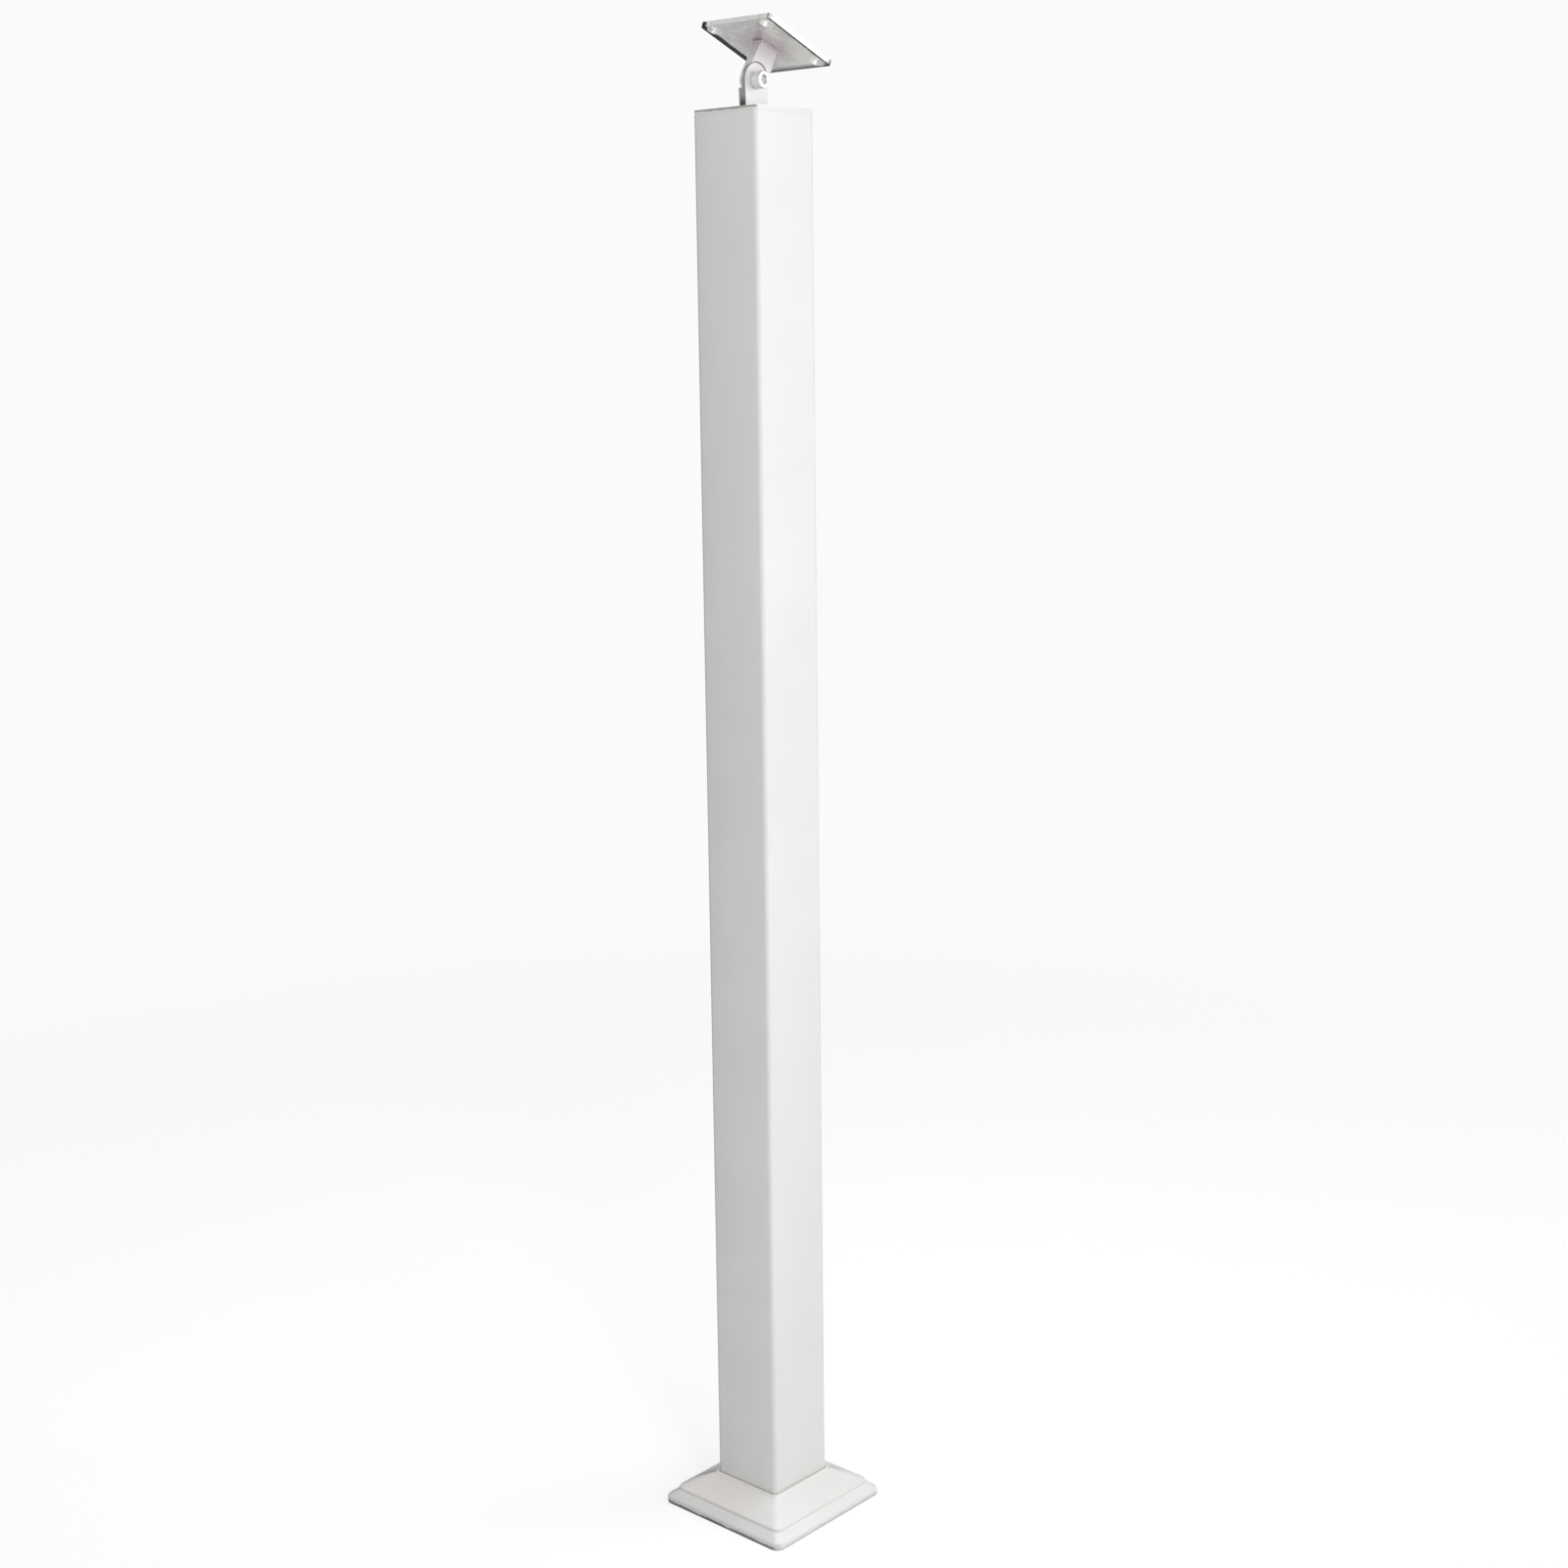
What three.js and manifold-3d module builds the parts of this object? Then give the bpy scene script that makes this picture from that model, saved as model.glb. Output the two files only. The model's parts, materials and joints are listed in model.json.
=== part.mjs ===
// A square steel newel post: a capped tube in a pressed foot cover, with a saddle plate for the
// handrail that tilts on a half-lapped pair of lugs. Millimetres, +Z up. The origin is on the
// floor under the middle of the post. The pivot screw runs along X, with its head towards +X, and
// the saddle slopes down towards +Y, as it does on a falling handrail.
import * as THREE from "three";
import { mergeVertices } from "three/addons/utils/BufferGeometryUtils.js";
import Module from "manifold-3d";

// Tube
const POST_SIDE = 50;
const POST_WALL = 2;
const POST_CORNER_RADIUS = 2.8;
const TUBE_LENGTH = 872;

// Cap, welded on the tube's upper end
const CAP_THICKNESS = 3;
const CAP_EDGE_BEVEL = 0.5;

// Foot cover, pressed from sheet and slipped over the tube
const COVER_WIDTH = 100;
const COVER_SHEET = 1.5;
const COVER_CLEARANCE = 0.3;
const COVER_RIM_HEIGHT = 3.4; // up to the middle of the rim's rounded edge
const COVER_RIM_ROUNDING = 1.4;
const COVER_BEVEL_RUN = 5.6;
const COVER_BEVEL_RISE = 4.9;
const COVER_STEP_HEIGHT = 2.1;
const COVER_STEP_ROUNDING = 0.9;
const COVER_SLOPE_RISE = 8.6;
const COVER_SLOPE_CROWN = 0.7;
const COVER_LIP_WIDTH = 2.2;
const COVER_LIP_RISE = 1;
const COVER_FOOT_CORNER_RADIUS = 5.5;

// Pivot
const PIVOT_HEIGHT = 16.4; // above the cap
const SADDLE_TILT_DEG = 22.5;
const RUNNING_GAP = 0.3;
const LUG_THICKNESS = 5.5;
const FIXED_EYE_WIDTH = 19.6;
const FIXED_ROOT_WIDTH = 18.4;
const SADDLE_EYE_WIDTH = 16.6;
const SADDLE_ROOT_WIDTH = 14.5;
const SADDLE_ROOT_SHIFT = 3; // from the normal through the screw, towards the low end
const SHOULDER_CLEARANCE = 0.8; // beyond the larger eye
const WELD_GAP = 0.3;

// Pivot screw: M6, with a socket head, threaded into the saddle's eye
const SCREW_DIAMETER = 6;
const SCREW_HOLE_CLEARANCE = 0.4; // on the radius
const SCREW_HEAD_WIDTH = 10;
const SCREW_HEAD_HEIGHT = 6;
const SCREW_HEAD_CHAMFER = 0.6;
const SOCKET_ACROSS_FLATS = 5;
const SOCKET_DEPTH = 3;

// Saddle plate
const PLATE_WIDTH = 54; // along the screw
const PLATE_LENGTH = 58; // along the handrail
const PLATE_THICKNESS = 3;
const PLATE_CORNER_RADIUS = 2;
const PLATE_HEIGHT = 22.8; // from the screw's axis to the plate's underside
const RAIL_HOLE_DIAMETER = 5;
const RAIL_HOLE_MOUTH = 8.6;
const RAIL_HOLES_ACROSS = 41;
const RAIL_HOLES_ALONG = 46;

// Facets
const CORNER_STEPS = 5;
const ROUND_STEPS = 32;
const CUT_OVERRUN = 1;

const postHalf = POST_SIDE / 2;
const capTop = TUBE_LENGTH + CAP_THICKNESS;
const pivotZ = capTop + PIVOT_HEIGHT;
const shoulderRadius = Math.max(FIXED_EYE_WIDTH, SADDLE_EYE_WIDTH) / 2 + SHOULDER_CLEARANCE;

const wasm = await Module();
wasm.setup();

// A closed three.js geometry as a manifold-3d solid.
function solidOf(geometry) {
  const bare = geometry.clone();
  bare.deleteAttribute("normal");
  bare.deleteAttribute("uv");
  const merged = mergeVertices(bare, 1e-4);
  return new wasm.Manifold(
    new wasm.Mesh({
      numProp: 3,
      vertProperties: new Float32Array(merged.attributes.position.array),
      triVerts: new Uint32Array(merged.index.array),
    }),
  );
}

// A manifold-3d solid as a three.js geometry.
function geometryOf(solid) {
  const { vertProperties, triVerts } = solid.getMesh();
  const geometry = new THREE.BufferGeometry();
  geometry.setAttribute("position", new THREE.BufferAttribute(vertProperties, 3));
  geometry.setIndex(new THREE.BufferAttribute(triVerts, 1));
  return geometry;
}

// Adds a rectangle with round corners, centred on the origin, to a shape or a path.
function traceRoundedRectangle(path, width, length, radius) {
  const x = width / 2 - radius;
  const y = length / 2 - radius;
  path.absarc(x, -y, radius, -Math.PI / 2, 0);
  path.absarc(x, y, radius, 0, Math.PI / 2);
  path.absarc(-x, y, radius, Math.PI / 2, Math.PI);
  path.absarc(-x, -y, radius, Math.PI, Math.PI * 1.5);
  path.closePath();
  return path;
}

// Turns a geometry drawn in XY and extruded along Z, so that the drawing stands in YZ and the
// extrusion runs along X.
function standAcrossX(geometry) {
  const turn = new THREE.Matrix4().makeBasis(
    new THREE.Vector3(0, 1, 0),
    new THREE.Vector3(0, 0, 1),
    new THREE.Vector3(1, 0, 0),
  );
  return geometry.applyMatrix4(turn);
}

// A body turned round the screw's axis: profile points are [x, radius], in rising x.
function turnedAlongX(profile) {
  const points = profile.map(([x, radius]) => new THREE.Vector2(radius, x));
  return new THREE.LatheGeometry(points, ROUND_STEPS).rotateZ(-Math.PI / 2);
}

function tubeGeometry() {
  const section = traceRoundedRectangle(new THREE.Shape(), POST_SIDE, POST_SIDE, POST_CORNER_RADIUS);
  const bore = POST_SIDE - 2 * POST_WALL;
  section.holes.push(
    traceRoundedRectangle(new THREE.Path(), bore, bore, POST_CORNER_RADIUS - POST_WALL),
  );
  return new THREE.ExtrudeGeometry(section, {
    depth: TUBE_LENGTH,
    bevelEnabled: false,
    curveSegments: CORNER_STEPS,
  });
}

function capGeometry() {
  const outline = traceRoundedRectangle(new THREE.Shape(), POST_SIDE, POST_SIDE, POST_CORNER_RADIUS);
  return new THREE.ExtrudeGeometry(outline, {
    depth: CAP_THICKNESS - 2 * CAP_EDGE_BEVEL,
    bevelSize: CAP_EDGE_BEVEL,
    bevelThickness: CAP_EDGE_BEVEL,
    bevelOffset: -CAP_EDGE_BEVEL,
    bevelSegments: 1,
    curveSegments: CORNER_STEPS,
  }).translate(0, 0, CAP_EDGE_BEVEL);
}

// The foot cover's outer profile from the floor up to the tube, as [half width, height] points.
function coverProfile() {
  const rim = COVER_WIDTH / 2;
  const throat = postHalf + COVER_CLEARANCE;
  const ledge = rim - COVER_BEVEL_RUN;
  const ledgeZ = COVER_RIM_HEIGHT + COVER_BEVEL_RISE;
  const stepZ = ledgeZ + COVER_STEP_HEIGHT;
  const slopeFoot = ledge - COVER_STEP_ROUNDING;
  const slopeHead = throat + COVER_LIP_WIDTH;
  const slopeTopZ = stepZ + COVER_SLOPE_RISE;
  const slopeMiddle = (slopeFoot + slopeHead) / 2;
  const slopeMiddleZ = (stepZ + slopeTopZ) / 2 + COVER_SLOPE_CROWN;
  return [
    [rim, 0],
    [rim, COVER_RIM_HEIGHT - COVER_RIM_ROUNDING],
    [rim - COVER_RIM_ROUNDING / 3, COVER_RIM_HEIGHT],
    [rim - COVER_RIM_ROUNDING, COVER_RIM_HEIGHT + COVER_RIM_ROUNDING],
    [ledge, ledgeZ],
    [ledge, stepZ - COVER_STEP_ROUNDING],
    [slopeFoot, stepZ],
    [slopeMiddle, slopeMiddleZ],
    [slopeHead, slopeTopZ],
    [slopeHead - COVER_LIP_RISE / 2, slopeTopZ + COVER_LIP_RISE],
    [throat, slopeTopZ + COVER_LIP_RISE],
  ];
}

// The same profile moved inwards by the sheet's thickness, with mitred bends.
function insideOf(profile, sheet) {
  const along = profile.slice(1).map(([h, z], i) => {
    const run = new THREE.Vector2(h - profile[i][0], z - profile[i][1]);
    return run.normalize();
  });
  return profile.map(([h, z], i) => {
    const before = along[Math.max(i - 1, 0)];
    const after = along[Math.min(i, along.length - 1)];
    const bisector = before.clone().add(after).normalize();
    const reach = sheet / bisector.dot(before);
    return [h - bisector.y * reach, z + bisector.x * reach];
  });
}

// One ring of points round a square with round corners, anticlockwise seen from above.
function squareRing(half, z, radius) {
  const ring = [];
  for (let corner = 0; corner < 4; corner++) {
    const centreTurn = Math.PI / 4 + (corner * Math.PI) / 2;
    const reach = (half - radius) * Math.SQRT2;
    for (let step = 0; step <= CORNER_STEPS; step++) {
      const turn = (corner * Math.PI) / 2 + ((step / CORNER_STEPS) * Math.PI) / 2;
      ring.push([
        reach * Math.cos(centreTurn) + radius * Math.cos(turn),
        reach * Math.sin(centreTurn) + radius * Math.sin(turn),
        z,
      ]);
    }
  }
  return ring;
}

// The pressed cover: rings up the outside and down the inside, closed at the rim and the throat.
function coverGeometry() {
  const outer = coverProfile();
  const inner = insideOf(outer, COVER_SHEET);
  const throat = outer[outer.length - 1][0];
  const rim = outer[0][0];
  const cornerAt = (half) =>
    POST_CORNER_RADIUS +
    ((COVER_FOOT_CORNER_RADIUS - POST_CORNER_RADIUS) * (half - throat)) / (rim - throat);
  const rings = [
    ...outer.map(([half, z]) => squareRing(half, z, cornerAt(half))),
    ...inner
      .map(([half, z], i) => squareRing(half, z, cornerAt(outer[i][0]) - COVER_SHEET))
      .reverse(),
  ];
  const around = rings[0].length;
  const index = [];
  for (let r = 0; r < rings.length; r++) {
    const next = (r + 1) % rings.length;
    for (let p = 0; p < around; p++) {
      const q = (p + 1) % around;
      index.push(r * around + p, r * around + q, next * around + q);
      index.push(r * around + p, next * around + q, next * around + p);
    }
  }
  const geometry = new THREE.BufferGeometry();
  geometry.setAttribute("position", new THREE.Float32BufferAttribute(rings.flat(2), 3));
  geometry.setIndex(index);
  return geometry;
}

// A lug that hangs from its root, about the screw's axis: a round eye joined by tangents to the
// root above it, which may be narrower than the eye and stand off to one side.
function lugOutline(lug) {
  const rootRight = lug.rootShift + lug.rootWidth / 2;
  const rootLeft = lug.rootShift - lug.rootWidth / 2;
  const tangentOffset = (rootY) => Math.acos(lug.eyeRadius / Math.hypot(rootY, lug.rootHeight));
  const rightTurn = Math.atan2(lug.rootHeight, rootRight) - tangentOffset(rootRight);
  const leftTurn = Math.atan2(lug.rootHeight, rootLeft) + tangentOffset(rootLeft);
  const outline = new THREE.Shape();
  outline.moveTo(rootLeft, lug.rootHeight);
  outline.lineTo(rootRight, lug.rootHeight);
  outline.absarc(0, 0, lug.eyeRadius, rightTurn, leftTurn, true);
  outline.closePath();
  return outline;
}

// The lug is as thick as the bar it is cut from, except round the eye, where half is turned away
// up to a round shoulder, so that two lugs lap. The side is +1 or -1: the X side that stays.
function lugGeometry(lug) {
  const outline = lugOutline(lug);
  const hole = new THREE.Path();
  hole.absarc(0, 0, SCREW_DIAMETER / 2 + SCREW_HOLE_CLEARANCE, 0, 2 * Math.PI);
  outline.holes.push(hole);
  const bar = new THREE.ExtrudeGeometry(outline, {
    depth: LUG_THICKNESS,
    bevelEnabled: false,
    curveSegments: ROUND_STEPS / 2,
  }).translate(0, 0, -LUG_THICKNESS / 2);
  const lapDepth = (LUG_THICKNESS + RUNNING_GAP) / 2 + CUT_OVERRUN;
  const lap = new THREE.CylinderGeometry(shoulderRadius, shoulderRadius, lapDepth, ROUND_STEPS)
    .rotateZ(Math.PI / 2)
    .translate((lug.side * (RUNNING_GAP - lapDepth)) / 2, 0, 0);
  return geometryOf(solidOf(standAcrossX(bar)).subtract(solidOf(lap)));
}

// Head and shank in one. The head's underside is at 0, and the shank reaches to -length.
function screwGeometry(length) {
  const shankRadius = SCREW_DIAMETER / 2;
  const headRadius = SCREW_HEAD_WIDTH / 2;
  const body = turnedAlongX([
    [-length, 0],
    [-length, shankRadius],
    [0, shankRadius],
    [0, headRadius],
    [SCREW_HEAD_HEIGHT - SCREW_HEAD_CHAMFER, headRadius],
    [SCREW_HEAD_HEIGHT, headRadius - SCREW_HEAD_CHAMFER],
    [SCREW_HEAD_HEIGHT, 0],
  ]);
  const socketRadius = SOCKET_ACROSS_FLATS / Math.sqrt(3);
  const socketLength = SOCKET_DEPTH + CUT_OVERRUN;
  const socket = new THREE.CylinderGeometry(socketRadius, socketRadius, socketLength, 6)
    .rotateZ(-Math.PI / 2)
    .translate(SCREW_HEAD_HEIGHT - SOCKET_DEPTH + socketLength / 2, 0, 0);
  return geometryOf(solidOf(body).subtract(solidOf(socket)));
}

// The plate lies on z = 0 to its thickness. Its four holes are countersunk from below, because
// the handrail's screws go up through them.
function plateGeometry() {
  const outline = traceRoundedRectangle(
    new THREE.Shape(),
    PLATE_WIDTH,
    PLATE_LENGTH,
    PLATE_CORNER_RADIUS,
  );
  const blank = new THREE.ExtrudeGeometry(outline, {
    depth: PLATE_THICKNESS,
    bevelEnabled: false,
    curveSegments: CORNER_STEPS,
  });
  const holeRadius = RAIL_HOLE_DIAMETER / 2;
  const mouthRadius = RAIL_HOLE_MOUTH / 2;
  const screw = [
    [0, -CUT_OVERRUN],
    [mouthRadius + CUT_OVERRUN, -CUT_OVERRUN],
    [holeRadius, mouthRadius - holeRadius],
    [holeRadius, PLATE_THICKNESS + CUT_OVERRUN],
    [0, PLATE_THICKNESS + CUT_OVERRUN],
  ].map(([radius, z]) => new THREE.Vector2(radius, z));
  let plate = solidOf(blank);
  for (const side of [-1, 1]) {
    for (const end of [-1, 1]) {
      const cutter = new THREE.LatheGeometry(screw, ROUND_STEPS)
        .rotateX(Math.PI / 2)
        .translate((side * RAIL_HOLES_ACROSS) / 2, (end * RAIL_HOLES_ALONG) / 2, 0);
      plate = plate.subtract(solidOf(cutter));
    }
  }
  return geometryOf(plate);
}

const whiteCoat = new THREE.MeshStandardMaterial({
  color: 0xf2f1ee,
  roughness: 0.4,
  metalness: 0,
});
const satinSteel = new THREE.MeshStandardMaterial({
  color: 0xb4b3b0,
  roughness: 0.35,
  metalness: 1,
});
const brightSteel = new THREE.MeshStandardMaterial({
  color: 0xa9abac,
  roughness: 0.25,
  metalness: 1,
});

function piece(name, geometry, material) {
  const mesh = new THREE.Mesh(geometry, material);
  mesh.name = name;
  return mesh;
}

// The post stands on the floor, and the cap and the fixed lug stand on it.
const post = new THREE.Group();
const tube = piece("post_tube", tubeGeometry(), whiteCoat);
const cover = piece("foot_cover", coverGeometry(), whiteCoat);
const cap = piece("top_cap", capGeometry(), whiteCoat);
cap.position.z = TUBE_LENGTH;
post.add(tube, cover, cap);

// Two lugs lap on the post's middle plane, with the post's half on the head's side. The post's
// lug is turned over, to stand on the cap.
const fixedLug = piece(
  "fixed_lug",
  lugGeometry({
    eyeRadius: FIXED_EYE_WIDTH / 2,
    rootWidth: FIXED_ROOT_WIDTH,
    rootShift: 0,
    rootHeight: PIVOT_HEIGHT,
    side: 1,
  }),
  satinSteel,
);
fixedLug.position.z = pivotZ;
fixedLug.rotation.x = Math.PI;
post.add(fixedLug);

// The saddle turns about the screw. A positive turn about +X lifts its +Y end, so it is set back.
const saddle = new THREE.Group();
saddle.position.z = pivotZ;
saddle.rotation.x = -THREE.MathUtils.degToRad(SADDLE_TILT_DEG);
const saddleLug = piece(
  "saddle_lug",
  lugGeometry({
    eyeRadius: SADDLE_EYE_WIDTH / 2,
    rootWidth: SADDLE_ROOT_WIDTH,
    rootShift: SADDLE_ROOT_SHIFT,
    rootHeight: PLATE_HEIGHT - WELD_GAP,
    side: -1,
  }),
  satinSteel,
);
const plate = piece("saddle_plate", plateGeometry(), satinSteel);
plate.position.set(0, SADDLE_ROOT_SHIFT, PLATE_HEIGHT);
const screw = piece("pivot_screw", screwGeometry(LUG_THICKNESS + RUNNING_GAP), brightSteel);
screw.position.x = LUG_THICKNESS / 2 + RUNNING_GAP;
saddle.add(saddleLug, plate, screw);

const newelPost = new THREE.Group();
newelPost.add(post, saddle);

export default newelPost;
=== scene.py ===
import json
import math

import bmesh
import bpy
from mathutils import Matrix, Vector


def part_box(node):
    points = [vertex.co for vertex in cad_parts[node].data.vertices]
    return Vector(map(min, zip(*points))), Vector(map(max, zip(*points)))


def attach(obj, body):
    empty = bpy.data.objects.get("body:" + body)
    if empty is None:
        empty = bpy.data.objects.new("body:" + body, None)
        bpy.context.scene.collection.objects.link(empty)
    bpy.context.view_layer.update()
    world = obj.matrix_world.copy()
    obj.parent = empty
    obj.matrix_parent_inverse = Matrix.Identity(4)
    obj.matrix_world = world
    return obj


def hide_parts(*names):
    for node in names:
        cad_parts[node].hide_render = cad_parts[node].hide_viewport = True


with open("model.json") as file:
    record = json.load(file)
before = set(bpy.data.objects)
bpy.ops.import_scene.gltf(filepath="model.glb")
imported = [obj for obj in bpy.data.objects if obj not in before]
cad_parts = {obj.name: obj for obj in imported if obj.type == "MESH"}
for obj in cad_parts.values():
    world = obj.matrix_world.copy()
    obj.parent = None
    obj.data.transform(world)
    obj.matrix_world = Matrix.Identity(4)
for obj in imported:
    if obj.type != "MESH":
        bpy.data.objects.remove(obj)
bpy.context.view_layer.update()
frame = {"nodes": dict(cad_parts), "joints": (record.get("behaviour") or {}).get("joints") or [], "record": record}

MM = 0.001

# Sizes that the frame gives
tube_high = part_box("post_tube")[1]
cap_low, cap_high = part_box("top_cap")
cover_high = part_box("foot_cover")[1]
lug_low, lug_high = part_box("fixed_lug")
tilt_joint = frame["joints"][0]
pivot = Vector(tilt_joint["pos_m"])
mounts = {mount["name"]: mount for mount in frame["record"]["mounts"]}
seat = Vector(mounts["handrail_seat"]["pos_m"])
seat_normal = Vector(mounts["handrail_seat"]["axis"])
saddle_tilt = math.atan2(seat_normal.y, seat_normal.z)
saddle_space = Matrix.Translation(pivot) @ Matrix.Rotation(-saddle_tilt, 4, "X")
seat_in_saddle = saddle_space.inverted() @ seat
plate_low, plate_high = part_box("saddle_plate")
plate_half_width = plate_high.x
plate_low_end = (saddle_space.inverted() @ Vector((0, plate_high.y, plate_low.z))).y
plate_high_end = 2 * seat_in_saddle.y - plate_low_end

# Post and cap
POST_HALF = tube_high.x
POST_WALL = 2 * MM
POST_CORNER_RADIUS = 2.8 * MM
TUBE_END_ROUND = 0.15 * MM
CAP_EDGE_ROUND = 0.6 * MM
CAP_SEAM_ROUND = 0.15 * MM
CAP_FILL_INSET = 2 * MM

# Foot cover: the profile's bends are [half width, height, bend radius]
COVER_HALF = cover_high.x
COVER_TOP = cover_high.z
COVER_SHEET = 1.5 * MM
COVER_THROAT = POST_HALF + 0.3 * MM
COVER_CORNER_RADIUS = 5.5 * MM
COVER_INNER_ROUND = 0.5 * MM
COVER_BENDS = [
    (COVER_HALF, 0, 0),
    (COVER_HALF, 4.2 * MM, 1.6 * MM),
    (COVER_HALF - 5.6 * MM, 8.3 * MM, 0.5 * MM),
    (COVER_HALF - 5.6 * MM, 10.4 * MM, 0.9 * MM),
    (COVER_HALF - 14.5 * MM, 15.4 * MM, 30 * MM),
    (COVER_THROAT + 2.2 * MM, 19 * MM, 0.5 * MM),
    (COVER_THROAT + 1.6 * MM, COVER_TOP, 0.4 * MM),
    (COVER_THROAT, COVER_TOP, 0),
]

# Lugs and saddle plate
LUG_THICKNESS = lug_high.x - lug_low.x
FIXED_ROOT_WIDTH = 18.4 * MM
SADDLE_ROOT_WIDTH = 14.5 * MM
PLATE_THICKNESS = 3 * MM
RAIL_HOLES_ACROSS = 41 * MM
RAIL_HOLES_ALONG = 46 * MM
RAIL_HOLE_MOUTH = 8.6 * MM
LUG_EDGE_ROUND = 0.35 * MM
PLATE_EDGE_ROUND = 0.35 * MM

# Weld beads
BEAD_LEG = 1.3 * MM
BEAD_RIPPLE = 0.12
BEAD_RIPPLE_PITCH = 0.9 * MM
BEAD_STEPS_IN_RIPPLE = 8
BEAD_CROWN = 0.18
BEAD_SINK = 0.3 * MM

# Pivot screw
SCREW_HEAD_RADIUS = 5 * MM
SCREW_HEAD_HEIGHT = 6 * MM
SCREW_HEAD_ROUND = 0.6 * MM
SCREW_HEAD_FOOT_ROUND = 0.25 * MM
SCREW_HEAD_GAP = 0.3 * MM
SCREW_SHANK_RADIUS = 3 * MM
SCREW_END_ROUND = 0.5 * MM
SCREW_SHANK_LENGTH = 5.8 * MM
SOCKET_HALF_FLATS = 2.5 * MM
SOCKET_DEPTH = 3 * MM
SOCKET_CONE = 1.2 * MM
SOCKET_MOUTH = 0.35 * MM
KNURL_DEPTH = 0.12 * MM
KNURL_RIDGES = 48
SOCKET_RIM_SHARE = 1.2
SOCKET_FLOOR_SHARE = 0.9
POINT_RADIUS = 0.01 * MM

# Facets
CORNER_STEPS = 14
BEND_STEPS = 6
ROUND_STEPS = 192
EDGE_SEGMENTS = 3
MERGE_DISTANCE = 0.001 * MM
SHARP_ANGLE = math.radians(38)
FLAT_ANGLE = math.radians(0.5)
STRAIGHT_COSINE = 1e-4

# Powder coat
COAT_DEEP = (0.86, 0.855, 0.84, 1)
COAT_PALE = (0.9, 0.895, 0.885, 1)
# Dirt and painted shade in the coat's inner corners
COAT_DIRT_AND_SHADE = (0.42, 0.4, 0.37, 1)
COAT_RUBBED = (0.93, 0.93, 0.925, 1)
# Painted shade on the tube's far rounded corner
FAR_CORNER_SHADE = (0.7, 0.7, 0.69, 1)
# Painted shade along the cap's top edge
CAP_EDGE_SHADE = (0.36, 0.355, 0.34, 1)
# Painted warm shade on the cover's front slope
SLOPE_WARM_SHADE = (0.9, 0.865, 0.835, 1)
# Painted shade on the cover's rim
RIM_SHADE = (0.76, 0.76, 0.755, 1)
SLOPE_SHADE = (0.3, 0.3, 0.3, 1)
# Painted deep shade on the far slope beside the tube
SLOPE_DEEP_SHADE = (0.06, 0.06, 0.06, 1)
# Painted shade on the back slope beside the tube
BACK_SLOPE_SHADE = (0.25, 0.25, 0.25, 1)
# Painted contact shadow along the cover's bottom edge, dark on the left and grey on the right
CONTACT_SHADOW_DARK = (0.07, 0.07, 0.07, 1)
CONTACT_SHADOW_GREY = (0.2, 0.2, 0.2, 1)
PEEL_DEPTH = 0.03 * MM
COVER_PEEL_DEPTH = 0.04 * MM
COAT_GLOSS = (0.3, 0.4)
GRIME_MATT = 0.3

# Steel
STEEL = (0.88, 0.875, 0.865, 1)
DULL_STEEL = (0.64, 0.635, 0.63, 1)
BLASTED_STEEL = (0.98, 0.975, 0.965, 1)
DULL_BLASTED_STEEL = (0.95, 0.945, 0.935, 1)
TINTED_STEEL = (0.98, 0.96, 0.96, 1)
DULL_TINTED_STEEL = (0.95, 0.925, 0.925, 1)
TURNED_STEEL = (0.94, 0.94, 0.94, 1)
DULL_TURNED_STEEL = (0.88, 0.885, 0.89, 1)
BEAD_STEEL = (0.7, 0.63, 0.65, 1)
DULL_BEAD_STEEL = (0.52, 0.46, 0.49, 1)
STEEL_RUBBED = (0.9, 0.895, 0.885, 1)
# Dirt and painted shade in the steel's inner corners
STEEL_DIRT_AND_SHADE = (0.2, 0.18, 0.17, 1)
# Painted light: a brighter patch on the plate's underside
LIT_STEEL = (0.96, 0.965, 0.93, 1)
# Bare cut steel, paler partly as a painted reflection
CUT_STEEL_AND_SHEEN = (0.95, 0.95, 0.93, 1)
HEAT_TINT = (0.62, 0.54, 0.57, 1)
PALE_HEAT_TINT = (0.84, 0.77, 0.77, 1)
PLATE_END = (0.55, 0.55, 0.54, 1)
# Near black: painted shade on the plate's underside edges and corners
EDGE_SHADE_BLACK = (0.02, 0.02, 0.02, 1)
# Painted shade on the fixed lug's front side
LUG_SIDE_SHADE = (0.46, 0.46, 0.46, 1)
# Painted shade at the fixed lug's foot
TOE_SHADE = (0.09, 0.09, 0.09, 1)
# Painted shade on the saddle lug's side toward the screw
SADDLE_LUG_SIDE_SHADE = (0.9, 0.86, 0.86, 1)
KNURL_GREY = (0.8, 0.8, 0.79, 1)
GRAIN_DEPTH = 0.02 * MM
GRAIN_MATT = 0.1
BLOTCH_MATT = 0.08
PLATE_MOTTLE = 420.0
HALF_BLASTED = 0.5
LIGHTLY_BLASTED = 0.6

# Painted shade round the plate's underside: where it is full and where it is gone
FAR_EDGE_SHADE = (4 * MM, 5 * MM)
NEAR_EDGE_SHADE = (1.4 * MM, 2.4 * MM)
LOW_EDGE_SHADE = (2 * MM, 6.5 * MM)
NEAR_EDGE_SHADE_SHARE = 0.85
EDGE_SHADE_WANDER = 0.5 * MM

# Bare cut faces past a screw hole's mouth, paler partly as a painted reflection, and the strip on a lug's far edge
# that the painted side shade leaves bright
COUNTERSINK_EDGE = (0.2 * MM, 0.7 * MM)
FAR_STRIP = (0.6 * MM, 1.2 * MM)

# Directions, where the front is on the left of the photo
FRONT = (0, -1, 0)
BACK = (0, 1, 0)
RIGHT = (1, 0, 0)
LEFT = (-1, 0, 0)
DOWN = (0, 0, -1)
FAR_CORNER = (-math.sqrt(0.5), -math.sqrt(0.5), 0)

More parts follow.
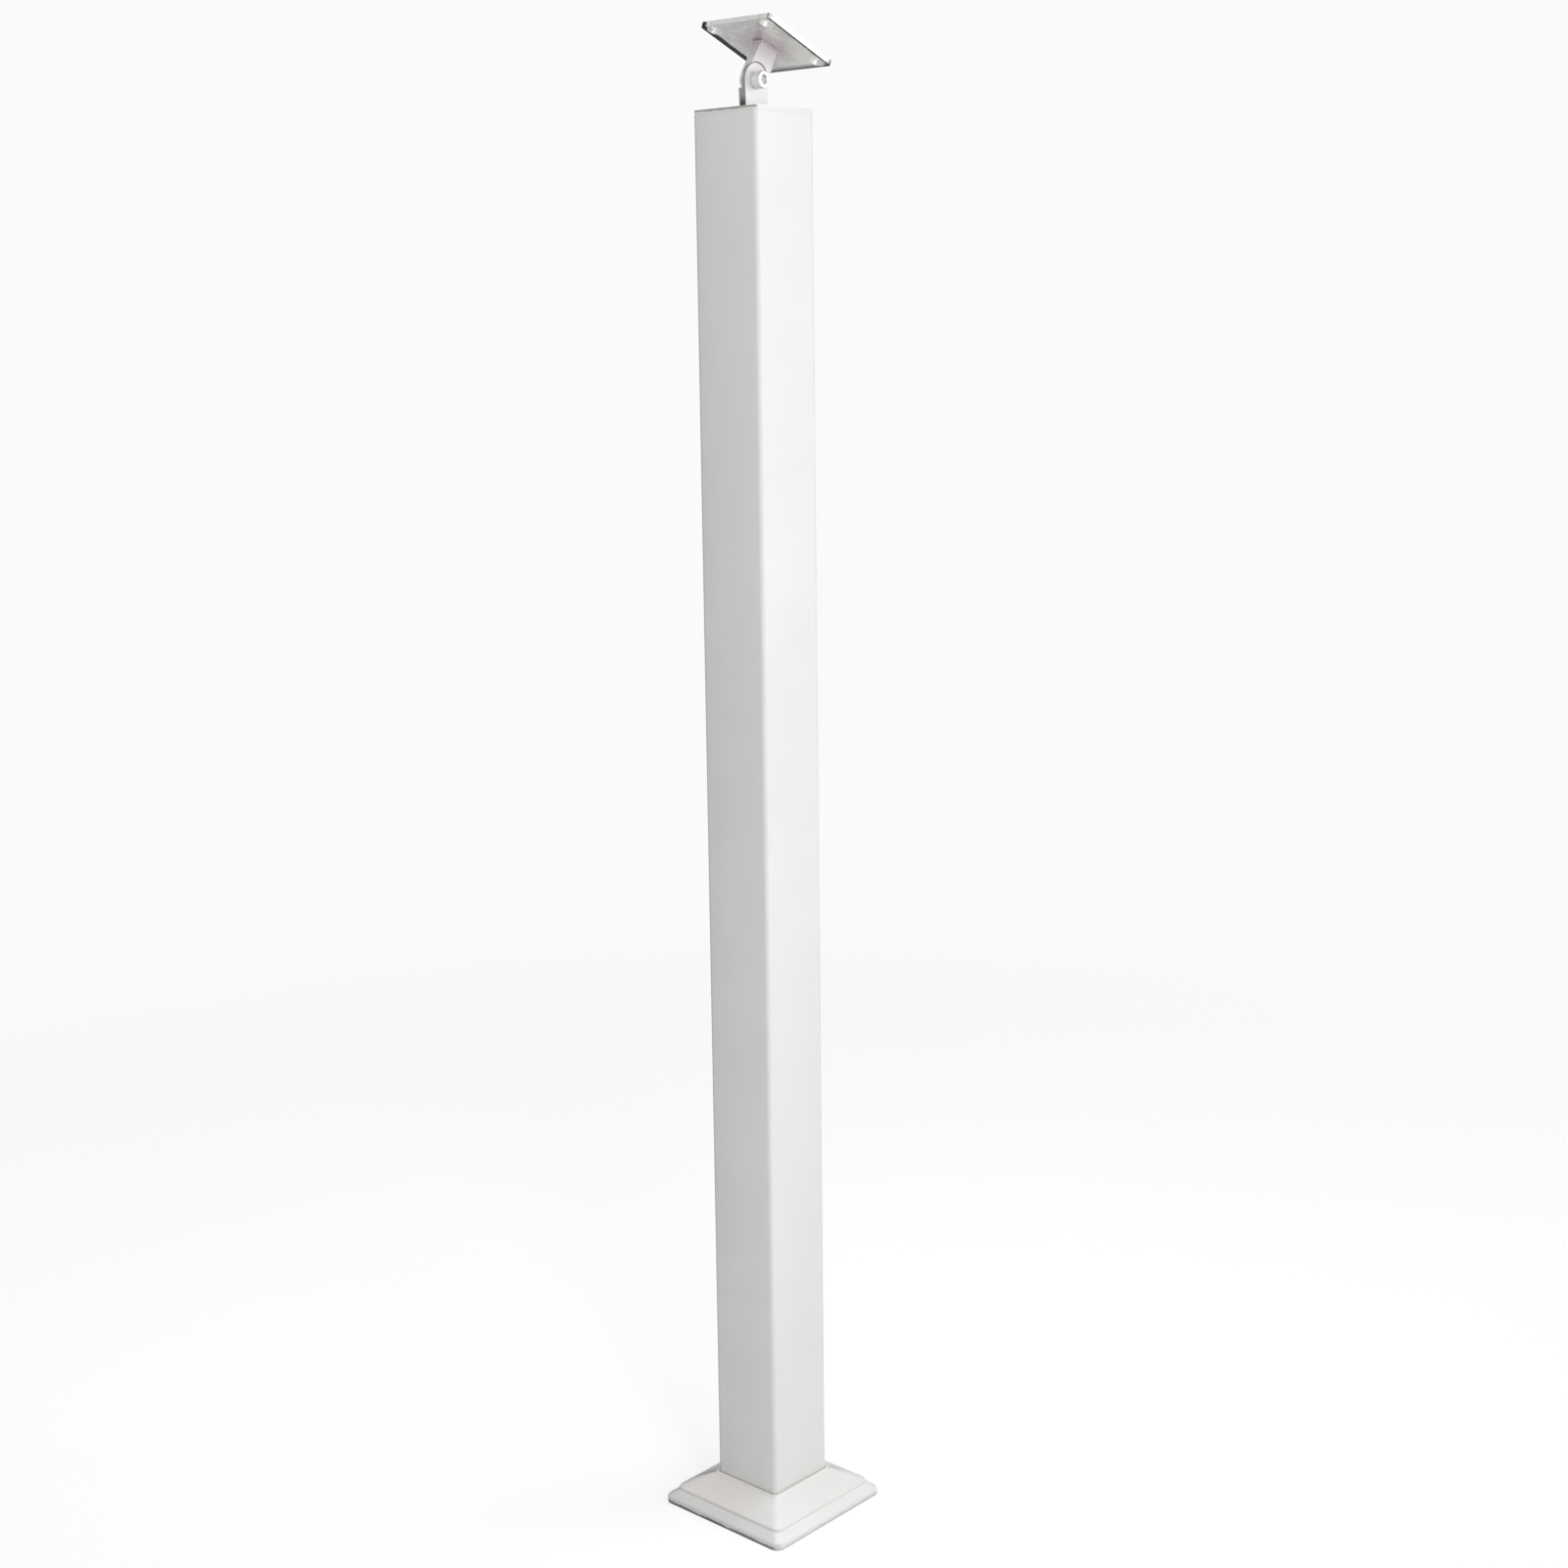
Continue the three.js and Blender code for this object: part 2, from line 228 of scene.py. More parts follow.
# Noises: size, detail and roughness, then the middle of a noise's range
GLOSS_NOISE = (60.0, 3.0, 0.6)
CORNER_DIRT_AND_SHADE_NOISE = (160.0, 5.0, 0.65)
RUB_NOISE = (320.0, 6.0, 0.7)
ROUND_ZONE_NOISE = (130.0, 4.0, 0.6)
BAND_NOISE = (150.0, 4.0)
EDGE_SHADE_NOISE = (240.0, 4.0)
NOISE_LOW = 0.3
NOISE_HIGH = 0.7

# Camera
CAMERA_PLACE = Vector((0.92738, -1.00795, 0.74378))
CAMERA_AIM = Vector((0, 0.0194, 0.4728))
CAMERA_ROLL = math.radians(-0.706)
CAMERA_LENS = 52.1
SENSOR_WIDTH = 36
NEAREST_SEEN = 0.01

# Studio
WHITE = (1, 1, 1, 1)
BACKDROP_LEVEL = 0.96
DIM_SIDE = 0.06
BRIGHT_SIDE = 0.45
GROUND_LEVEL = 0.58
HORIZON_FADE = 0.3
FLOOR_REACH = 1.5
FLOOR_FADE = 0.5
FLOOR_BOUNCE = (0.9, 0.9, 0.9, 1)
FLOOR_SEEN = (0.62, 0.62, 0.62, 1)
FLOOR_LIFT = 0.5
FLOOR_ROUGHNESS = 0.9
FLOOR_SHINE = 0.1
# Soft lights: name, place, aim, width and height in metres, power in watts
LIGHTS = [
    ("strip_near", (0.27, -0.18, 0.65), (0, 0, 0.65), 0.06, 1.2, 0.78),
    ("card_behind", (1.5, 1.65, 0.75), (0, 0, 0.75), 1.4, 2.4, 15),
    ("card_left", (-1.5, -1.2, 1.4), (0, 0, 0.7), 1.8, 1.8, 4),
    ("card_high_left", (-1.3, -0.85, 2.04), (0, 0, 0.9), 0.8, 0.6, 2.6),
    ("overhead", (0.2, 0.1, 2.9), (0, 0, 0.3), 1.6, 1.6, 45),
]


def filleted(bends, steps=BEND_STEPS):
    """The points of an open outline of (x, y, radius) corners, with each corner made an arc."""
    points = [Vector(bends[0][:2])]
    for before, corner, after in zip(bends, bends[1:], bends[2:]):
        middle = Vector(corner[:2])
        radius = corner[2]
        back = (Vector(before[:2]) - middle).normalized()
        on = (Vector(after[:2]) - middle).normalized()
        half_angle = back.angle(on) / 2
        if radius == 0 or math.cos(half_angle) < STRAIGHT_COSINE:
            points.append(middle)
            continue
        centre = middle + (back + on).normalized() * radius / math.sin(half_angle)
        start = middle + back * radius / math.tan(half_angle) - centre
        end = middle + on * radius / math.tan(half_angle) - centre
        from_turn = math.atan2(start.y, start.x)
        sweep = math.remainder(math.atan2(end.y, end.x) - from_turn, 2 * math.pi)
        for step in range(steps + 1):
            turn = from_turn + sweep * step / steps
            points.append(centre + radius * Vector((math.cos(turn), math.sin(turn))))
    points.append(Vector(bends[-1][:2]))
    return points


def offset_outline(points, distance):
    """An open outline moved to its left by the distance, with mitred corners."""
    runs = [(b - a).normalized() for a, b in zip(points, points[1:])]
    moved = []
    for number, point in enumerate(points):
        before = runs[max(number - 1, 0)]
        after = runs[min(number, len(runs) - 1)]
        bisector = (before + after).normalized()
        reach = distance / bisector.dot(before)
        moved.append(point + Vector((-bisector.y, bisector.x)) * reach)
    return moved


def square_ring(half, z, radius):
    """Points round a square with round corners, anticlockwise seen from above."""
    ring = []
    reach = (half - radius) * math.sqrt(2)
    for corner in range(4):
        quarter = corner * math.pi / 2
        for step in range(CORNER_STEPS + 1):
            turn = quarter + step / CORNER_STEPS * math.pi / 2
            x = reach * math.cos(quarter + math.pi / 4) + radius * math.cos(turn)
            y = reach * math.sin(quarter + math.pi / 4) + radius * math.sin(turn)
            ring.append(Vector((x, y, z)))
    return ring


def skin(name, rings, closed=False, filled=False):
    """A mesh piece over rings of equal length. It is closed from the last ring to the first, or
    its two end rings are filled."""
    mesh = bpy.data.meshes.new(name)
    around = len(rings[0])
    faces = []
    for r in range(len(rings) if closed else len(rings) - 1):
        upper = (r + 1) % len(rings)
        for p in range(around):
            q = (p + 1) % around
            faces.append((r * around + p, r * around + q, upper * around + q, upper * around + p))
    if filled:
        faces.append(tuple(reversed(range(around))))
        faces.append(tuple(range((len(rings) - 1) * around, len(rings) * around)))
    mesh.from_pydata([point for ring in rings for point in ring], [], faces)
    return finished(name, mesh)


def finished(name, mesh):
    """A piece from a mesh, with outward faces, smooth except at its sharp edges."""
    shape = bmesh.new()
    shape.from_mesh(mesh)
    bmesh.ops.recalc_face_normals(shape, faces=shape.faces)
    shape.to_mesh(mesh)
    shape.free()
    mesh.shade_smooth()
    mesh.set_sharp_from_angle(angle=SHARP_ANGLE)
    piece = bpy.data.objects.new(name, mesh)
    bpy.context.scene.collection.objects.link(piece)
    return piece


def rounded_solid(name, node, edge_round):
    """A CAD node's solid as a new piece, with its sharp edges rounded."""
    shape = bmesh.new()
    shape.from_mesh(frame["nodes"][node].data)
    bmesh.ops.remove_doubles(shape, verts=shape.verts, dist=MERGE_DISTANCE)
    bmesh.ops.dissolve_limit(
        shape,
        angle_limit=FLAT_ANGLE,
        verts=shape.verts,
        edges=shape.edges,
    )
    sharp = [e for e in shape.edges if e.is_manifold and e.calc_face_angle() > SHARP_ANGLE]
    bmesh.ops.bevel(
        shape,
        geom=sharp,
        offset=edge_round,
        segments=EDGE_SEGMENTS,
        profile=0.5,
        affect="EDGES",
        clamp_overlap=True,
        harden_normals=False,
    )
    mesh = bpy.data.meshes.new(name)
    shape.to_mesh(mesh)
    shape.free()
    piece = finished(name, mesh)
    piece.modifiers.new("flat faces", "WEIGHTED_NORMAL").keep_sharp = True
    return piece


def dress(piece, body, material, slot, *nodes):
    """Gives a piece its material and its body, and hides the CAD nodes that it stands for."""
    piece.data.materials.clear()
    piece.data.materials.append(material)
    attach(piece, body)
    if nodes:
        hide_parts(*nodes)
    return piece


def tube_piece():
    """The square tube, hollow, with lightly rounded ends."""
    outer = POST_HALF
    inner = POST_HALF - POST_WALL
    top = tube_high.z
    section = filleted(
        [
            ((outer + inner) / 2, 0, 0),
            (outer, 0, TUBE_END_ROUND),
            (outer, top, TUBE_END_ROUND),
            (inner, top, 0),
            (inner, 0, TUBE_END_ROUND),
            ((outer + inner) / 2, 0, 0),
        ]
    )[:-1]
    rings = []
    for half, z in section:
        rings.append(square_ring(half, z, POST_CORNER_RADIUS - (outer - half)))
    return skin("square_tube", rings, closed=True)


def cap_piece():
    """The cap plate, with its edges rounded."""
    half = cap_high.x
    section = filleted(
        [
            (half - CAP_FILL_INSET, cap_low.z, 0),
            (half, cap_low.z, CAP_SEAM_ROUND),
            (half, cap_high.z, CAP_EDGE_ROUND),
            (half - CAP_FILL_INSET, cap_high.z, 0),
        ]
    )
    rings = [square_ring(h, z, POST_CORNER_RADIUS - (half - h)) for h, z in section]
    return skin("cap_plate", rings, filled=True)


def cover_corner_radius(half):
    """The cover's plan corners grow from the tube's radius to the rim's."""
    share = (half - COVER_THROAT) / (COVER_HALF - COVER_THROAT)
    return POST_CORNER_RADIUS + share * (COVER_CORNER_RADIUS - POST_CORNER_RADIUS)


def cover_piece():
    """The pressed foot cover: one sheet, bent over the rim, the step and the slope."""
    outer = filleted(COVER_BENDS)
    inner = offset_outline(outer, COVER_SHEET)
    rings = [square_ring(half, z, cover_corner_radius(half)) for half, z in outer]
    for (half, z), (outer_half, _) in reversed(list(zip(inner, outer))):
        radius = cover_corner_radius(outer_half) - (outer_half - half)
        rings.append(square_ring(half, max(z, 0), max(radius, COVER_INNER_ROUND)))
    return skin("pressed_foot_cover", rings, closed=True)


def bead_piece(name, space, width, thickness, away):
    """A weld bead round a rectangular root at z = 0 of a space, on the side that away gives."""
    ring_half = Vector((thickness / 2, width / 2))
    corner = BEAD_LEG / 2
    path = []
    for index in range(4):
        sign_x = (1, -1, -1, 1)[index]
        sign_y = (1, 1, -1, -1)[index]
        for step in range(BEND_STEPS + 1):
            turn = (index + step / BEND_STEPS) * math.pi / 2
            path.append(
                (
                    Vector((sign_x * ring_half.x, sign_y * ring_half.y, 0)),
                    Vector((math.cos(turn), math.sin(turn), 0)),
                )
            )
    stations = resampled(path, corner)
    length_so_far = 0
    rings = []
    for number, (foot, outward) in enumerate(stations):
        if number:
            length_so_far += (foot + outward * corner - last).length
        last = foot + outward * corner
        wave = 1 + BEAD_RIPPLE * math.sin(2 * math.pi * length_so_far / BEAD_RIPPLE_PITCH)
        leg = BEAD_LEG * wave
        section = []
        for step in range(BEND_STEPS + 1):
            turn = step / BEND_STEPS * math.pi / 2
            crown = 1 - BEAD_CROWN + BEAD_CROWN * math.sin(2 * turn)
            section.append(
                space @ (
                    foot
                    + outward * leg * crown * math.cos(turn)
                    + Vector((0, 0, away)) * leg * crown * math.sin(turn)
                )
            )
        section.append(space @ (foot - outward * BEAD_SINK))
        rings.append(section)
    return skin(name, rings, closed=True)


def resampled(path, reach):
    """A closed path of (foot, outward) stations, at even steps of a part of a ripple."""
    spots = [foot + outward * reach for foot, outward in path]
    spots.append(spots[0])
    pairs = path + [path[0]]
    step_length = BEAD_RIPPLE_PITCH / BEAD_STEPS_IN_RIPPLE
    stations = []
    for number in range(len(path)):
        run = (spots[number + 1] - spots[number]).length
        steps = max(1, round(run / step_length))
        for step in range(steps):
            share = step / steps
            foot = pairs[number][0].lerp(pairs[number + 1][0], share)
            outward = pairs[number][1].lerp(pairs[number + 1][1], share).normalized()
            stations.append((foot, outward))
    return stations


def hexagon_reach(turn, half_flats):
    """How far a hexagon reaches from its middle, in the direction of a turn."""
    off_flat = math.remainder(turn, math.pi / 3)
    return half_flats / math.cos(off_flat)


def screw_piece():
    """The socket-head screw: a knurled head with a hexagon socket, and a plain shank."""
    under_head = lug_high.x + SCREW_HEAD_GAP
    head = SCREW_HEAD_HEIGHT
    radius = SCREW_HEAD_RADIUS
    outline = filleted(
        [
            (-SCREW_SHANK_LENGTH, 0, 0),
            (-SCREW_SHANK_LENGTH, SCREW_SHANK_RADIUS, SCREW_END_ROUND),
            (0, SCREW_SHANK_RADIUS, 0),
            (0, radius, SCREW_HEAD_FOOT_ROUND),
            (head, radius, SCREW_HEAD_ROUND),
            (head, SOCKET_HALF_FLATS * SOCKET_RIM_SHARE + SOCKET_MOUTH, 0),
        ]
    )
    turns = [2 * math.pi * step / ROUND_STEPS for step in range(ROUND_STEPS)]
    middle = pivot + Vector((under_head, 0, 0))

    def ring(x, reach):
        return [
            middle + Vector((x, reach(turn) * math.cos(turn), reach(turn) * math.sin(turn)))
            for turn in turns
        ]

    def side(r):
        """The reach round a ring, knurled where the head is at its full radius."""
        depth = KNURL_DEPTH if r > radius - POINT_RADIUS else 0
        return lambda turn: r - depth * (0.5 - 0.5 * math.cos(KNURL_RIDGES * turn))

    rings = [ring(x, side(max(r, POINT_RADIUS))) for x, r in outline]
    mouth = SOCKET_HALF_FLATS + SOCKET_MOUTH
    rings.append(ring(head, lambda turn: hexagon_reach(turn, mouth)))
    rings.append(ring(head - SOCKET_MOUTH, lambda turn: hexagon_reach(turn, SOCKET_HALF_FLATS)))
    floor = head - SOCKET_DEPTH
    rings.append(ring(floor, lambda turn: hexagon_reach(turn, SOCKET_HALF_FLATS)))
    rings.append(ring(floor, lambda turn: SOCKET_HALF_FLATS * SOCKET_FLOOR_SHARE))
    rings.append(ring(floor - SOCKET_CONE, lambda turn: POINT_RADIUS))
    return skin("socket_screw", rings, filled=True)


def node_group(name, inputs, outputs):
    """An empty shader group with named float or vector sockets."""
    group = bpy.data.node_groups.new(name, "ShaderNodeTree")
    for label, kind, value in inputs:
        socket = group.interface.new_socket(label, in_out="INPUT", socket_type=kind)
        if value is not None:
            socket.default_value = value
    for label, kind in outputs:
        group.interface.new_socket(label, in_out="OUTPUT", socket_type=kind)
    return group, group.nodes.new("NodeGroupInput"), group.nodes.new("NodeGroupOutput")


def fill(tree, socket, value):
    """Sets an input to a number or a colour, or links it to a socket of another node."""
    if isinstance(value, bpy.types.NodeSocket):
        tree.links.new(value, socket)
    else:
        socket.default_value = value


def add(tree, kind, inputs=(), **settings):
    """A new node with its settings, and its inputs by name or number."""
    node = tree.nodes.new("ShaderNode" + kind)
    for label, value in settings.items():
        setattr(node, label, value)
    for label, value in dict(inputs).items():
        fill(tree, node.inputs[label], value)
    return node


def sharpened(tree, value, low, high, to_low=0.0, to_high=1.0):
    """A value spread from low..high to new limits, and held between them."""
    node = add(
        tree,
        "MapRange",
        {0: value, 1: low, 2: high, 3: to_low, 4: to_high},
        clamp=True,
    )
    return node.outputs[0]


def noise(tree, place, size, detail, roughness=0.5):
    """A noise at a place. A larger size number gives a finer noise."""
    inputs = {"Vector": place, "Scale": size, "Detail": detail, "Roughness": roughness}
    return add(tree, "TexNoise", inputs).outputs[0]


def evened(tree, value, low=0.0, high=1.0):
    """A noise's value spread over new limits."""
    return sharpened(tree, value, NOISE_LOW, NOISE_HIGH, low, high)


def blended(tree, share, first, second):
    """Two colours mixed by a share."""
    node = add(tree, "Mix", {0: share, 6: first, 7: second}, data_type="RGBA")
    return node.outputs[2]


def product(tree, first, second):
    return add(tree, "Math", {0: first, 1: second}, operation="MULTIPLY").outputs[0]


def total(tree, first, second):
    return add(tree, "Math", {0: first, 1: second}, operation="ADD").outputs[0]


def greater(tree, first, second):
    return add(tree, "Math", {0: first, 1: second}, operation="MAXIMUM").outputs[0]


def size_of(tree, value):
    return add(tree, "Math", {0: value}, operation="ABSOLUTE").outputs[0]


def apart(tree, first, second):
    """How far two points are apart."""
    node = add(tree, "VectorMath", {0: first, 1: second}, operation="DISTANCE")
    return node.outputs["Value"]


def agreement(tree, first, second):
    """The cosine of the angle between two directions."""
    node = add(tree, "VectorMath", {0: first, 1: second}, operation="DOT_PRODUCT")
    return node.outputs["Value"]


FLOAT = "NodeSocketFloat"
VECTOR = "NodeSocketVector"


def powder_texture():
    """Orange peel and slow changes of tone, as a powder coat has them."""
    group, given, put = node_group(
        "powder_texture",
        [("Place", VECTOR, None), ("Peel Size", FLOAT, 900.0), ("Cloud Size", FLOAT, 14.0)],
        [("Height", FLOAT), ("Tone", FLOAT), ("Gloss", FLOAT)],
    )
    place = given.outputs["Place"]
    peel = noise(group, place, given.outputs["Peel Size"], 2.0, 0.45)
    cloud = noise(group, place, given.outputs["Cloud Size"], 4.0, 0.55)
    gloss = noise(group, place, *GLOSS_NOISE)
    group.links.new(peel, put.inputs["Height"])
    group.links.new(evened(group, cloud), put.inputs["Tone"])
    group.links.new(evened(group, gloss), put.inputs["Gloss"])
    return group


def corner_dirt_and_shade():
    """Dirt and painted shade in inner corners, where an occlusion mask finds them, broken up by noise."""
    group, given, put = node_group(
        "corner_dirt_and_shade",
        [("Place", VECTOR, None), ("Reach", FLOAT, 0.004), ("Amount", FLOAT, 1.0)],
        [("Mask", FLOAT)],
    )
    closeness = add(group, "AmbientOcclusion", {"Distance": given.outputs["Reach"]}, samples=8)
    hollow = sharpened(group, closeness.outputs["AO"], 0.35, 0.95, 1.0, 0.0)
    broken = evened(group, noise(group, given.outputs["Place"], *CORNER_DIRT_AND_SHADE_NOISE), 0.4)
    mask = product(group, product(group, hollow, broken), given.outputs["Amount"])
    group.links.new(mask, put.inputs["Mask"])
    return group


def edge_rub():
    """Where handling rubs a surface bright: on outer edges, broken up by noise."""
    group, given, put = node_group(
        "edge_rub",
        [("Place", VECTOR, None), ("Width", FLOAT, 0.0006), ("Amount", FLOAT, 1.0)],
        [("Mask", FLOAT)],
    )
    rounded = add(group, "Bevel", {"Radius": given.outputs["Width"]}, samples=6)
    flat = add(group, "NewGeometry").outputs["Normal"]
    flatness = agreement(group, rounded.outputs[0], flat)
    edge = sharpened(group, flatness, 0.9, 0.995, 1.0, 0.0)
    speckle = noise(group, given.outputs["Place"], *RUB_NOISE)
    broken = sharpened(group, speckle, 0.4, 0.62)
    mask = product(group, product(group, edge, broken), given.outputs["Amount"])
    group.links.new(mask, put.inputs["Mask"])
    return group


def rolled_grain():
    """Fine lines along one direction of the place, with blotches, as on linished bar."""
    group, given, put = node_group(
        "rolled_grain",
        [("Place", VECTOR, None), ("Line Size", FLOAT, 1500.0), ("Blotch Size", FLOAT, 110.0)],
        [("Height", FLOAT), ("Lines", FLOAT), ("Blotches", FLOAT)],
    )
    drawn = add(
        group,
        "VectorMath",
        {0: given.outputs["Place"], 1: (1.0, 0.03, 1.0)},
        operation="MULTIPLY",
    )
    lines = noise(group, drawn.outputs[0], given.outputs["Line Size"], 3.0, 0.6)
    blotches = noise(group, given.outputs["Place"], given.outputs["Blotch Size"], 5.0, 0.6)
    group.links.new(lines, put.inputs["Height"])
    group.links.new(sharpened(group, lines, 0.35, 0.65), put.inputs["Lines"])
    group.links.new(sharpened(group, blotches, 0.32, 0.68), put.inputs["Blotches"])
    return group


def round_zone():
    """A round patch, for a stain or a painted shade: full near its centre, gone at its reach, with a broken rim.
    """
    group, given, put = node_group(
        "round_zone",
        [
            ("Place", VECTOR, None),
            ("Centre", VECTOR, None),
            ("Core", FLOAT, 0.004),
            ("Reach", FLOAT, 0.02),
            ("Amount", FLOAT, 1.0),
        ],
        [("Mask", FLOAT)],
    )
    place = given.outputs["Place"]
    away = apart(group, place, given.outputs["Centre"])
    wander = sharpened(group, noise(group, place, *ROUND_ZONE_NOISE), 0.25, 0.75, 0.75, 1.3)
    near = sharpened(
        group,
        product(group, away, wander),
        given.outputs["Core"],
        given.outputs["Reach"],
        1.0,
        0.0,
    )
    group.links.new(product(group, near, given.outputs["Amount"]), put.inputs["Mask"])
    return group


def height_band():
    """A band between two heights, with soft ends that wander."""
    group, given, put = node_group(
        "height_band",
        [
            ("Place", VECTOR, None),
            ("Bottom", FLOAT, 0.0),
            ("Top", FLOAT, 0.001),
            ("Soft", FLOAT, 0.001),
            ("Wander", FLOAT, 0.0005),
        ],
        [("Mask", FLOAT)],
    )
    place = given.outputs["Place"]
    height = add(group, "SeparateXYZ", {0: place}).outputs[2]
    swing = evened(group, noise(group, place, *BAND_NOISE), -1.0)
    moved = total(group, height, product(group, swing, given.outputs["Wander"]))
    soft = given.outputs["Soft"]
    bottom = given.outputs["Bottom"]
    top = given.outputs["Top"]
    below = add(group, "Math", {0: bottom, 1: soft}, operation="SUBTRACT").outputs[0]
    rising = sharpened(group, moved, below, bottom)
    falling = sharpened(group, moved, top, total(group, top, soft), 1, 0)
    group.links.new(product(group, rising, falling), put.inputs["Mask"])
    return group


def facing_side():
    """The faces towards a direction. Off and Full are cosines of the angle to it."""
    group, given, put = node_group(
        "facing_side",
        [("Direction", VECTOR, None), ("Off", FLOAT, 0.0), ("Full", FLOAT, 0.6)],
        [("Mask", FLOAT)],
    )
    normal = add(group, "TexCoord").outputs["Normal"]
    facing = agreement(group, normal, given.outputs["Direction"])
    mask = sharpened(group, facing, given.outputs["Off"], given.outputs["Full"])
    group.links.new(mask, put.inputs["Mask"])
    return group


def rim_faces():
    """The faces of a piece that don't look along the screw."""
    group, _, put = node_group("rim_faces", [], [("Mask", FLOAT)])
    normal = add(group, "TexCoord").outputs["Normal"]
    along_screw = size_of(group, add(group, "SeparateXYZ", {0: normal}).outputs[0])
    group.links.new(sharpened(group, along_screw, 0.35, 0.75, 1, 0), put.inputs["Mask"])
    return group


def new_material(name):
    """A material with its Principled shader, its tree and the place on the piece."""
    material = bpy.data.materials.new(name)
    material.use_nodes = True
    tree = material.node_tree
    tree.nodes.clear()
    shader = add(tree, "BsdfPrincipled")
    output = add(tree, "OutputMaterial", {"Surface": shader.outputs[0]})
    output.is_active_output = True
    place = add(tree, "TexCoord").outputs["Object"]
    return material, tree, shader, place


def use_group(tree, group, **inputs):
    """A group placed in a material. Its input names have spaces for underscores."""
    node = tree.nodes.new("ShaderNodeGroup")
    node.node_tree = group
    for label, value in inputs.items():
        fill(tree, node.inputs[label.replace("_", " ")], value)
    return node


def emboss(tree, shader, height, depth):
    """Raises a surface by a height from 0 to 1, times a depth in metres."""
    bump = add(tree, "Bump", {"Height": height, "Distance": depth, "Strength": 1.0})
    tree.links.new(bump.outputs[0], shader.inputs["Normal"])


def white_coat(name, peel, dirt_and_shade_share, stains_and_shades=()):
    """White powder coat, with its peel's depth in metres, its share of corner dirt and painted shade, and its
    stains and painted shades.
    """
    material, tree, shader, place = new_material(name)
    texture = use_group(tree, POWDER, Place=place)
    dirt_and_shade = use_group(tree, CORNER_DIRT_AND_SHADE, Place=place, Amount=dirt_and_shade_share)
    rub = use_group(tree, RUB, Place=place, Amount=0.5)
    colour = blended(tree, texture.outputs["Tone"], COAT_DEEP, COAT_PALE)
    # Darker in inner corners: dirt and painted shade
    colour = blended(tree, dirt_and_shade.outputs["Mask"], colour, COAT_DIRT_AND_SHADE)
    colour = blended(tree, rub.outputs["Mask"], colour, COAT_RUBBED)
    for mask, mark_colour in stains_and_shades:
        colour = blended(tree, mask(tree, place), colour, mark_colour)
    tree.links.new(colour, shader.inputs["Base Color"])
    gloss = sharpened(tree, texture.outputs["Gloss"], 0, 1, *COAT_GLOSS)
    matt = product(tree, dirt_and_shade.outputs["Mask"], GRIME_MATT)
    tree.links.new(total(tree, gloss, matt), shader.inputs["Roughness"])
    emboss(tree, shader, texture.outputs["Height"], peel)
    return material


def satin_steel(name, base, dark, grain_turn, roughness, stains_and_shades=(), metal=1.0, mottle=110.0):
    """Linished steel, with its grain turned about X by an angle. A stain or a painted shade is a function that
    gives its mask from the tree and the place, and its colour. A blasted surface has a lower share of
    metal shine, and a larger mottle number gives finer mottling."""
    material, tree, shader, place = new_material(name)
    turned = add(tree, "Mapping", {"Vector": place, "Rotation": (grain_turn, 0, 0)}).outputs[0]
    grain = use_group(tree, GRAIN, Place=turned, Blotch_Size=mottle)
    dirt_and_shade = use_group(tree, CORNER_DIRT_AND_SHADE, Place=place, Amount=0.06, Reach=0.002)
    rub = use_group(tree, RUB, Place=place, Amount=0.6, Width=0.0005)
    colour = blended(tree, grain.outputs["Blotches"], dark, base)
    colour = blended(tree, rub.outputs["Mask"], colour, STEEL_RUBBED)
    # Darker in inner corners: dirt and painted shade
    colour = blended(tree, dirt_and_shade.outputs["Mask"], colour, STEEL_DIRT_AND_SHADE)
    for mask, mark_colour in stains_and_shades:
        colour = blended(tree, mask(tree, place), colour, mark_colour)
    tree.links.new(colour, shader.inputs["Base Color"])
    shader.inputs["Metallic"].default_value = metal
    lines = product(tree, grain.outputs["Lines"], GRAIN_MATT)
    blotches = product(tree, grain.outputs["Blotches"], BLOTCH_MATT)
    matt = total(tree, total(tree, lines, blotches), roughness)
    tree.links.new(matt, shader.inputs["Roughness"])
    emboss(tree, shader, grain.outputs["Height"], GRAIN_DEPTH)
    return material


def group_mask(group, **inputs):
    """The mask that a group gives at a place."""
    def mask(tree, place):
        return use_group(tree, group, Place=place, **inputs).outputs["Mask"]
    return mask


def zone(centre, core, reach, amount=1.0):
    """The mask of a round stain or painted shade about a point of the frame."""
    return group_mask(ROUND_ZONE, Centre=centre, Core=core, Reach=reach, Amount=amount)


def slope_place(tree, place):
    """The place in the saddle's own frame, where Y runs down the plate."""
    from_pivot = add(
        tree,
        "VectorMath",
        {0: place, 1: tuple(pivot)},
        operation="SUBTRACT",
    ).outputs[0]
    turned = add(tree, "Mapping", {"Vector": from_pivot, "Rotation": (saddle_tilt, 0, 0)})
    return add(tree, "SeparateXYZ", {0: turned.outputs[0]})


